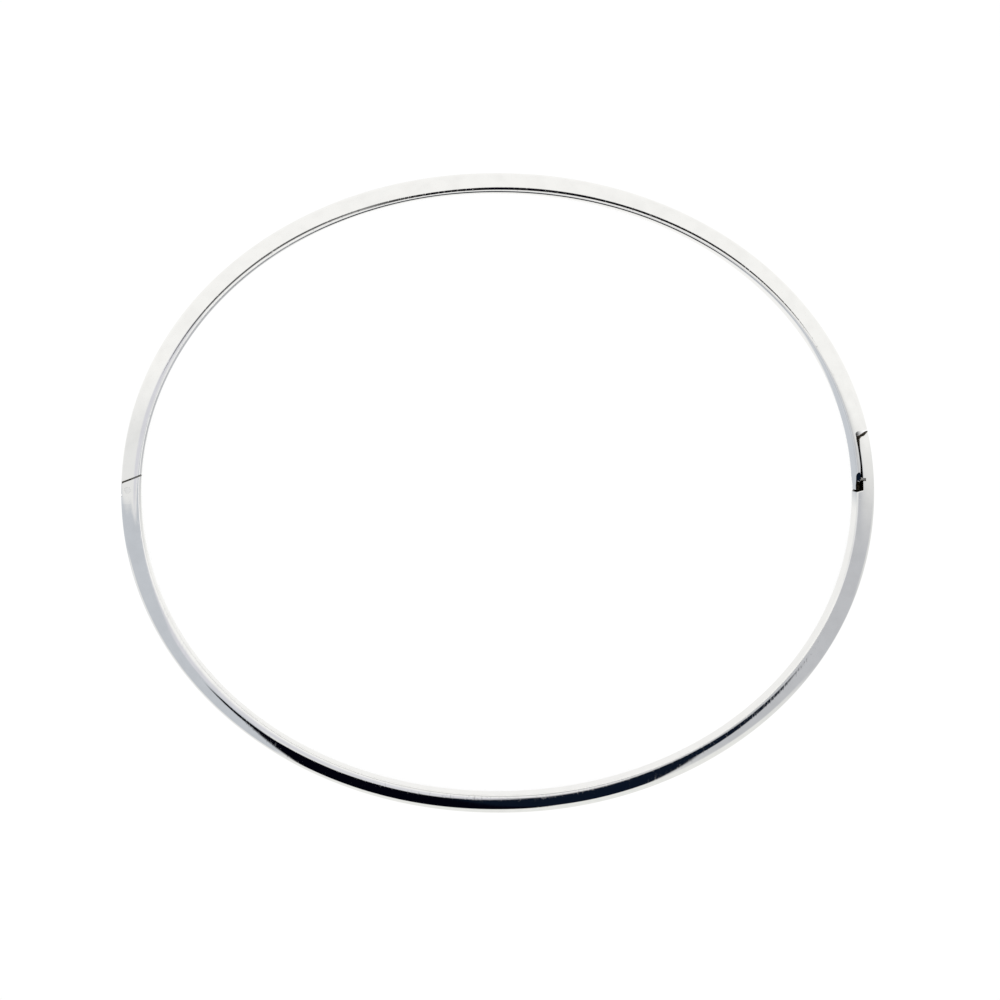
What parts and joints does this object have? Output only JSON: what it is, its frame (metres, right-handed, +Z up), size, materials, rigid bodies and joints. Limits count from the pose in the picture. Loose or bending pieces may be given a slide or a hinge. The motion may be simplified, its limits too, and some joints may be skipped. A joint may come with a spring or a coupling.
{
  "type": "bangle bracelet",
  "caption": "Oval hinged bangle bracelet: plain polished domed band that swings open on a riveted knuckle hinge and closes with a snap lap clasp.",
  "frame": {"origin": "centre of the bounding box's bottom face, on the oval's axis, with the bangle lying flat", "axes": "+X along the oval's long axis to the clasp, +Y to the rear half, +Z up"},
  "size_m": [0.0634, 0.0538, 0.003],
  "materials": {
    "band": "polished",
    "pin": "polished",
    "wire": "polished"
  },
  "bodies": {
    "rear_half": {"rear_half_tube": "band", "rear_hinge_end": "band", "rear_clasp_end": "band", "catch_wire": "wire"},
    "front_half": {"front_half_tube": "band", "front_hinge_end": "band", "front_clasp_end": "band", "hinge_pin": "pin"}
  },
  "joints": [
    {"name": "bangle_hinge", "type": "hinge", "parent": "rear_half", "child": "front_half", "pos_m": [-0.03113, 0, 0.0015], "axis": [0, 0, -1], "range_deg": [0, 70]}
  ]
}
